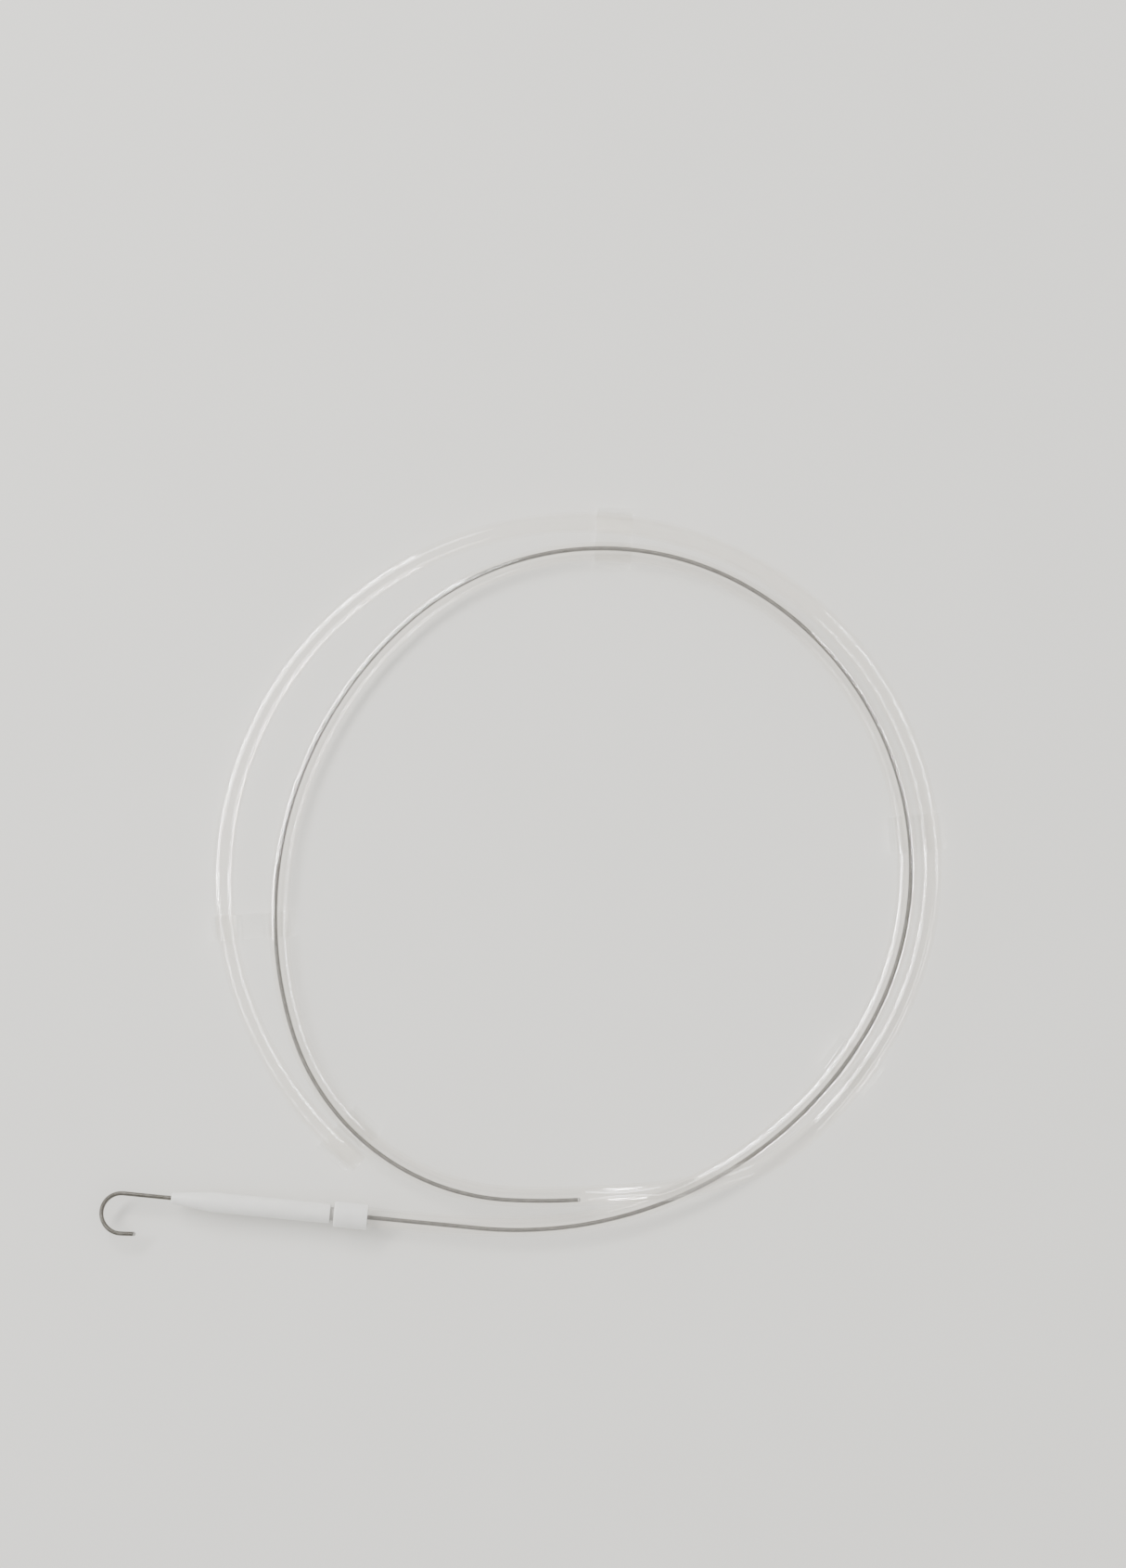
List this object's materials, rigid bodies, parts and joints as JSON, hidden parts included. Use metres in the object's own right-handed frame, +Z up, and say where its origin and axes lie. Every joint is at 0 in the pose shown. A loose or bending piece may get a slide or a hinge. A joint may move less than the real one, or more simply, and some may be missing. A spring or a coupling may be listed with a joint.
{
  "type": "guidewire in dispenser hoop",
  "caption": "Fine coil-wound J-tip guidewire held in a clear coiled dispenser tube with hoop clips and a tapered J straightener.",
  "frame": {"origin": "middle of the footprint, on the plane the clips rest on", "axes": "+X away from the J tip along the longest side, +Z up out of the coil, +Y from the tube's mouth across the coil"},
  "size_m": [0.1494, 0.1286, 0.0087],
  "materials": {
    "coil_steel": "fine close-wound stainless spring, satin",
    "core_steel": "drawn stainless wire",
    "weld_steel": "smooth rounded weld",
    "clear_tube": "clear extruded polyethylene, slightly hazy",
    "clip_plastic": "natural translucent moulded plastic",
    "sleeve_plastic": "white moulded plastic, slightly translucent"
  },
  "bodies": {
    "dispenser": {"hoop_tube": "clear_tube", "lower_right_clip": "clip_plastic", "right_clip": "clip_plastic", "top_clip": "clip_plastic", "left_spacer_clip": "clip_plastic", "tail_clip": "clip_plastic"},
    "straightener": {"straightener_sleeve": "sleeve_plastic"},
    "wire_shaft": {"coil_shaft": "coil_steel", "ribbon_shaft": "core_steel", "core_shaft": "core_steel"},
    "wire_j_1": {"coil_j_1": "coil_steel", "ribbon_j_1": "core_steel"},
    "wire_j_2": {"coil_j_2": "coil_steel", "ribbon_j_2": "core_steel"},
    "wire_j_3": {"coil_j_3": "coil_steel", "ribbon_j_3": "core_steel"},
    "wire_j_4": {"coil_j_4": "coil_steel", "ribbon_j_4": "core_steel"},
    "wire_j_5": {"coil_j_5": "coil_steel", "ribbon_j_5": "core_steel", "tip_bead": "weld_steel"},
    "wire_turn_1": {"coil_turn_1": "coil_steel", "ribbon_turn_1": "core_steel", "core_turn_1": "core_steel"},
    "wire_turn_2": {"coil_turn_2": "coil_steel", "ribbon_turn_2": "core_steel", "core_turn_2": "core_steel"},
    "wire_turn_3": {"coil_turn_3": "coil_steel", "ribbon_turn_3": "core_steel", "core_turn_3": "core_steel"},
    "wire_turn_4": {"coil_turn_4": "coil_steel", "ribbon_turn_4": "core_steel", "core_turn_4": "core_steel"},
    "wire_turn_5": {"coil_turn_5": "coil_steel", "ribbon_turn_5": "core_steel", "core_turn_5": "core_steel"},
    "wire_turn_6": {"coil_turn_6": "coil_steel", "ribbon_turn_6": "core_steel", "core_turn_6": "core_steel", "end_bead": "weld_steel"}
  },
  "joints": [
    {"name": "straightener_slide", "type": "slide", "parent": "dispenser", "child": "straightener", "axis": [-0.9952, 0.0976, 0], "range_m": [0, 0.0055]},
    {"name": "wire_advance", "type": "slide", "parent": "dispenser", "child": "wire_shaft", "axis": [-0.9952, 0.0976, 0], "range_m": [-0.0025, 0.004]},
    {"name": "wire_bend_1", "type": "hinge", "parent": "wire_shaft", "child": "wire_turn_1", "pos_m": [-0.00806, -0.06279, 0.0029], "axis": [0, 0, 1], "range_deg": [-3.2, 2]},
    {"name": "wire_bend_2", "type": "hinge", "parent": "wire_turn_1", "child": "wire_turn_2", "pos_m": [0.05925, -0.03015, 0.0029], "axis": [0, 0, 1], "range_deg": [-0.83, 0.52]},
    {"name": "wire_bend_3", "type": "hinge", "parent": "wire_turn_2", "child": "wire_turn_3", "pos_m": [0.03905, 0.05032, 0.0029], "axis": [0, 0, 1], "range_deg": [-0.42, 0.26]},
    {"name": "wire_bend_4", "type": "hinge", "parent": "wire_turn_3", "child": "wire_turn_4", "pos_m": [-0.02023, 0.04399, 0.0029], "axis": [0, 0, 1], "range_deg": [-0.71, 1.13]},
    {"name": "wire_bend_5", "type": "hinge", "parent": "wire_turn_4", "child": "wire_turn_5", "pos_m": [-0.04074, -0.02796, 0.0029], "axis": [0, 0, 1], "range_deg": [-2.13, 1.33]},
    {"name": "wire_bend_6", "type": "hinge", "parent": "wire_turn_5", "child": "wire_turn_6", "pos_m": [-0.00272, -0.05783, 0.0029], "axis": [0, 0, 1], "range_deg": [-2.11, 3.37]},
    {"name": "j_tip_flex", "type": "hinge", "parent": "wire_shaft", "child": "wire_j_1", "pos_m": [-0.07155, -0.05675, 0.0029], "axis": [0, 0, -1], "range_deg": [0, 36.8], "stiffness_Nm_per_rad": 0.00002},
    {"name": "j_bend_2", "type": "hinge", "parent": "wire_j_1", "child": "wire_j_2", "pos_m": [-0.07347, -0.05791, 0.0029], "axis": [0, 0, -1], "range_deg": [0, 36.8]},
    {"name": "j_bend_3", "type": "hinge", "parent": "wire_j_2", "child": "wire_j_3", "pos_m": [-0.07431, -0.05999, 0.0029], "axis": [0, 0, -1], "range_deg": [0, 36.8]},
    {"name": "j_bend_4", "type": "hinge", "parent": "wire_j_3", "child": "wire_j_4", "pos_m": [-0.07373, -0.06215, 0.0029], "axis": [0, 0, -1], "range_deg": [0, 36.8]},
    {"name": "j_bend_5", "type": "hinge", "parent": "wire_j_4", "child": "wire_j_5", "pos_m": [-0.07198, -0.06355, 0.0029], "axis": [0, 0, -1], "range_deg": [0, 36.8]}
  ],
  "couplings": [
    {"joint": "wire_bend_1", "follows": "wire_advance", "rad_per_m": -13.957},
    {"joint": "wire_bend_2", "follows": "wire_advance", "rad_per_m": -3.6025},
    {"joint": "wire_bend_3", "follows": "wire_advance", "rad_per_m": -1.8018},
    {"joint": "wire_bend_4", "follows": "wire_advance", "rad_per_m": 4.8998},
    {"joint": "wire_bend_5", "follows": "wire_advance", "rad_per_m": -9.2635},
    {"joint": "wire_bend_6", "follows": "wire_advance", "rad_per_m": 14.687},
    {"joint": "j_bend_2", "follows": "j_tip_flex", "ratio": 1},
    {"joint": "j_bend_3", "follows": "j_tip_flex", "ratio": 1},
    {"joint": "j_bend_4", "follows": "j_tip_flex", "ratio": 1},
    {"joint": "j_bend_5", "follows": "j_tip_flex", "ratio": 1}
  ]
}
